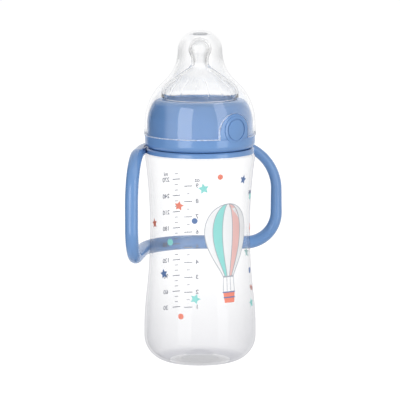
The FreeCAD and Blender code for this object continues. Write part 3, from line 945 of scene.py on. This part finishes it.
# Small motifs: kind, colour, angle, height in mm, radius in mm, turn
motifs = [
    ("star", "teal", -36, 112, 3.4, 10),
    ("dot", "coral", -18, 119, 1.7, 0),
    ("star", "slate", 14, 116, 3.0, -14),
    ("dot", "teal", 36, 104, 2.0, 0),
    ("star", "coral", 44, 84, 3.3, 22),
    ("dot", "slate", -46, 92, 1.8, 0),
    ("star", "coral", -64, 101, 3.2, -8),
    ("dot", "teal", -76, 78, 2.1, 0),
    ("star", "slate", -84, 58, 3.1, 16),
    ("star", "teal", -45, 44, 3.3, -20),
    ("dot", "coral", -60, 33, 1.8, 0),
    ("dot", "slate", 34, 58, 1.9, 0),
    ("star", "teal", 30, 38, 3.2, 6),
    ("star", "coral", -104, 88, 3.2, 12),
    ("star", "teal", 72, 66, 3.3, -10),
    ("dot", "coral", 66, 44, 1.8, 0),
    ("dot", "slate", 64, 104, 1.8, 0),
]
motifForm = {"points": 5, "inner": 0.52, "dotSteps": 24}


def motifShape(kind, radius, turn):
    count = motifForm["points"] * 2 if kind == "star" else motifForm["dotSteps"]
    outline = []
    for index in range(count):
        reach = radius * (motifForm["inner"] if kind == "star" and index % 2 else 1.0)
        angle = math.radians(90 + turn) + index * 2 * math.pi / count  # the first point is upright
        outline.append((reach * math.cos(angle), reach * math.sin(angle)))
    return outlineShape(outline)


printShapes = balloonShapes(balloon)
for kind, colour, angle, height, radius, turn in motifs:
    printShapes[colour].append((motifShape(kind, radius * mm, turn), angle, height * mm))
for colour, shapes in printShapes.items():
    level = 2 if colour in upperColours else 1
    inkPiece("print_" + colour, shapes, level, inkMaterial(colour + "Ink", printColours[colour]))
print("print laid:", len(printShapes), "colours")

# Studio: pale floor, white surround, four soft boxes
studio = {
    "ambient": 0.19,  # light from the surround
    "flagAzimuth": -110.0,  # a dark flag beside the object, for reflections only
    "flagTurn": (-0.92, -0.75),  # cosines of the turn from straight away from the flag
    "flagShow": 0.04,  # share of white left in the flag
    "floorSize": 9.0,
    "floorParts": 8,
    "floorGlow": 0.98,
    "contactShadowGlow": 0.60,  # painted contact shadow: the floor glows less right under the base
    "contactShadowReach": (0.012, 0.022),
    "floorSeen": (0.16, 0.16, 0.16),  # matt part of the floor where it is looked at
    "floorBounce": (0.80, 0.80, 0.81),  # and where it throws light back
    "boxAim": (0.0, 0.0, 0.12),
    "boxDistance": 1.5,
    "clearBounces": 32,
    "glossBounces": 8,
}
softBoxes = {
    "rightBox": {"azimuth": 48.0, "elevation": 12.0, "size": (0.64, 1.90), "power": 11.0},
    "leftBox": {"azimuth": -31.5, "elevation": 9.0, "size": (0.80, 1.55), "power": 14.0},
    "topBox": {"azimuth": 60.0, "elevation": 65.0, "size": (1.20, 1.20), "power": 5.0},
    "backBox": {"azimuth": 172.0, "elevation": 28.0, "size": (1.10, 1.10), "power": 9.0, "mirrored": False},
}
flagWay = -facing(cameraSet["azimuth"] + studio["flagAzimuth"])


# Share of white in a reflection, by the way it goes: little towards the flag, all of it elsewhere
def whiteBesideFlag(tree, source, spec):
    along = vectorMath(tree, "DOT_PRODUCT", source)
    along.inputs[1].default_value = flagWay
    return ranged(tree, along.outputs["Value"], spec["flagTurn"], (spec["flagShow"], 1.0), True)


# First 1 for rays that light matt surfaces; then the share of white that the other rays show, which is
# all of it straight or through clear walls, and as much as mirrored says in a reflection
def raySorts(tree, mirrored):
    path = tree.nodes.new("ShaderNodeLightPath")
    seen = joinMath(tree, "MAXIMUM", path.outputs["Is Camera Ray"], path.outputs["Is Transmission Ray"])
    seen = joinMath(tree, "MAXIMUM", seen, path.outputs["Is Glossy Ray"])
    seen = joinMath(tree, "MULTIPLY", seen, isNought(tree, path.outputs["Diffuse Depth"]))
    straight = isNought(tree, path.outputs["Glossy Depth"])
    shown = joinMath(tree, "MULTIPLY", seen, joinMath(tree, "MAXIMUM", straight, mirrored))
    return isNought(tree, seen), shown


def whiteSurround(spec):
    world = bpy.data.worlds.new("surround")
    scene.world = world
    world.use_nodes = True
    tree = world.node_tree
    coords = tree.nodes.new("ShaderNodeTexCoord")
    lighting, shown = raySorts(tree, whiteBesideFlag(tree, coords.outputs["Generated"], spec))
    strength = joinMath(tree, "ADD", joinMath(tree, "MULTIPLY", lighting, spec["ambient"]), shown)
    background = tree.nodes["Background"]
    setInputs(background, {"Color": (1, 1, 1, 1)})
    tree.links.new(strength, background.inputs["Strength"])


def floorMaterial(name, spec):
    material, tree, shader = newMaterial(name)
    tree.nodes.remove(shader)
    place = tree.nodes.new("ShaderNodeNewGeometry")
    way = vectorMath(tree, "NORMALIZE", place.outputs["Position"])
    away = vectorMath(tree, "LENGTH", place.outputs["Position"])
    lighting, shown = raySorts(tree, whiteBesideFlag(tree, way.outputs["Vector"], spec))
    # painted contact shadow: less glow right under the base
    paintedContactShadow = ranged(tree, away.outputs["Value"], spec["contactShadowReach"],
                     (spec["contactShadowGlow"], spec["floorGlow"]), True)
    diffuse = tree.nodes.new("ShaderNodeBsdfDiffuse")
    tree.links.new(twoTone(tree, lighting, spec["floorSeen"], spec["floorBounce"]), diffuse.inputs["Color"])
    glow = tree.nodes.new("ShaderNodeEmission")
    tree.links.new(joinMath(tree, "MULTIPLY", shown, paintedContactShadow), glow.inputs["Strength"])
    both = tree.nodes.new("ShaderNodeAddShader")
    tree.links.new(diffuse.outputs[0], both.inputs[0])
    tree.links.new(glow.outputs[0], both.inputs[1])
    below = tree.nodes.new("ShaderNodeMixShader")  # clear from below, so the base can be looked at
    tree.links.new(place.outputs["Backfacing"], below.inputs[0])
    tree.links.new(both.outputs[0], below.inputs[1])
    tree.links.new(tree.nodes.new("ShaderNodeBsdfTransparent").outputs[0], below.inputs[2])
    tree.links.new(below.outputs[0], tree.nodes["Material Output"].inputs["Surface"])
    return material


def paleFloor(spec):
    shape = bmesh.new()
    parts = spec["floorParts"]
    bmesh.ops.create_grid(shape, x_segments=parts, y_segments=parts, size=spec["floorSize"])
    mesh = bpy.data.meshes.new("floor")
    shape.to_mesh(mesh)
    shape.free()
    mesh.materials.append(floorMaterial("paleFloor", spec))
    floor = bpy.data.objects.new("floor", mesh)
    scene.collection.objects.link(floor)
    floor.visible_glossy = False  # reflections show the surround and the lamps instead
    floor.visible_shadow = False  # the lamps' lower parts light the object too


def softBox(name, spec):
    data = bpy.data.lights.new(name, "AREA")
    data.shape = "RECTANGLE"
    data.size, data.size_y = spec["size"]
    data.energy = spec["power"]
    lamp = bpy.data.objects.new(name, data)
    scene.collection.objects.link(lamp)
    target = Vector(studio["boxAim"])
    azimuth = cameraSet["azimuth"] + spec["azimuth"]
    aim(lamp, target + facing(azimuth, spec["elevation"]) * studio["boxDistance"], target)
    lamp.visible_camera = False
    lamp.visible_transmission = False
    lamp.visible_glossy = spec.get("mirrored", True)


whiteSurround(studio)
paleFloor(studio)
for name, spec in softBoxes.items():
    softBox(name, spec)
scene.view_settings.view_transform = "Standard"
scene.cycles.max_bounces = studio["clearBounces"]
scene.cycles.transmission_bounces = studio["clearBounces"]
scene.cycles.glossy_bounces = studio["glossBounces"]
print("studio lit")
